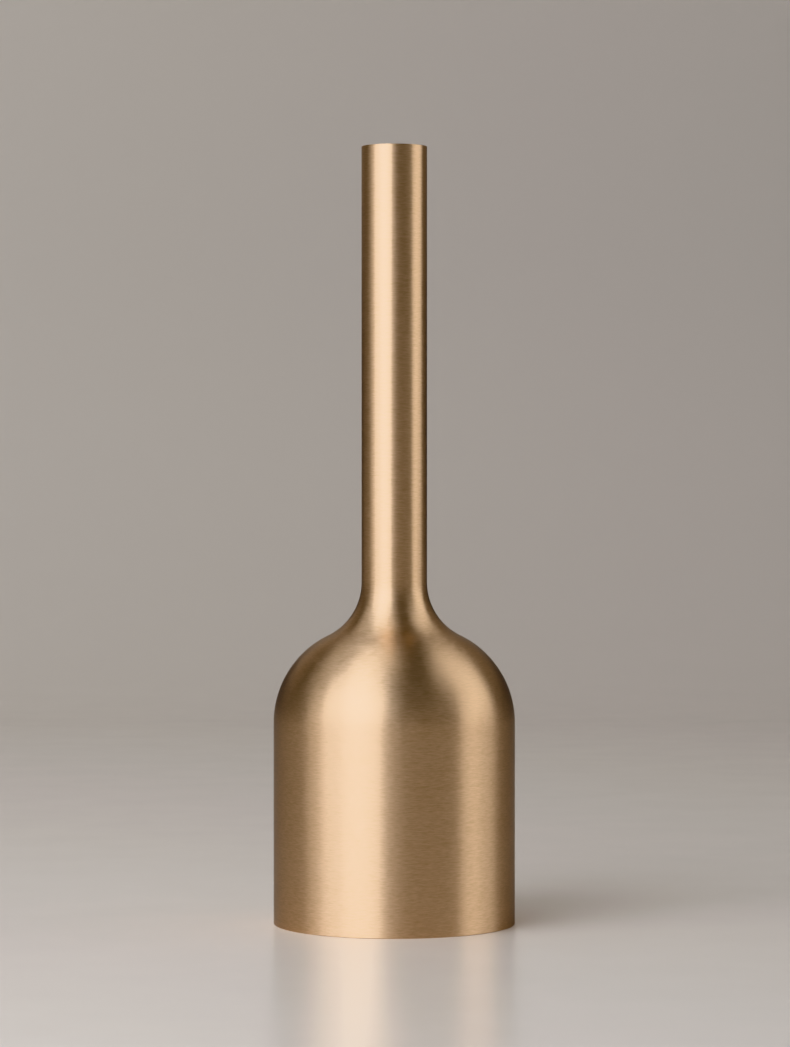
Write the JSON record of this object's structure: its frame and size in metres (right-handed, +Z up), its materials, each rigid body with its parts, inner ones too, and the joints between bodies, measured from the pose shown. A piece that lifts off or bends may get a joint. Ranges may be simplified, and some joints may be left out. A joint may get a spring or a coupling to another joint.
{
  "type": "bud vase",
  "caption": "Slim brushed-brass bud vase: a straight tubular neck on a domed, weighted cylindrical body, with a lift-out glass water tube inside.",
  "frame": {"origin": "centre of the foot's flat underside, on the surface that the vase stands on", "axes": "+Z up along the vase's axis. The outside is round, so +X and +Y are level and any side may face the front. The first ballast screw is on +X."},
  "size_m": [0.07, 0.07, 0.225],
  "materials": {
    "brushed_brass": "lathe-brushed round the axis, satin, unlacquered",
    "turned_brass": "face-turned, fine concentric tool marks",
    "cast_iron": "as cast, machined underneath and in the socket",
    "zinc_plated_steel": "bright zinc plate",
    "wool_felt": "pressed wool felt, self-adhesive",
    "silicone_rubber": "moulded, translucent white, matt",
    "borosilicate_glass": "clear drawn tube, fire-polished lip"
  },
  "bodies": {
    "vase": {"body_shell": "brushed_brass", "neck_tube": "brushed_brass", "base_plate": "turned_brass", "ballast": "cast_iron", "ballast_screw_1": "zinc_plated_steel", "ballast_screw_2": "zinc_plated_steel", "ballast_screw_3": "zinc_plated_steel", "foot_pad": "wool_felt", "tube_cushion": "silicone_rubber"},
    "liner": {"water_tube": "borosilicate_glass"}
  },
  "joints": [
    {"name": "water_tube_lift", "type": "slide", "parent": "vase", "child": "liner", "axis": [0, 0, 1], "range_m": [0, 0.21]}
  ]
}
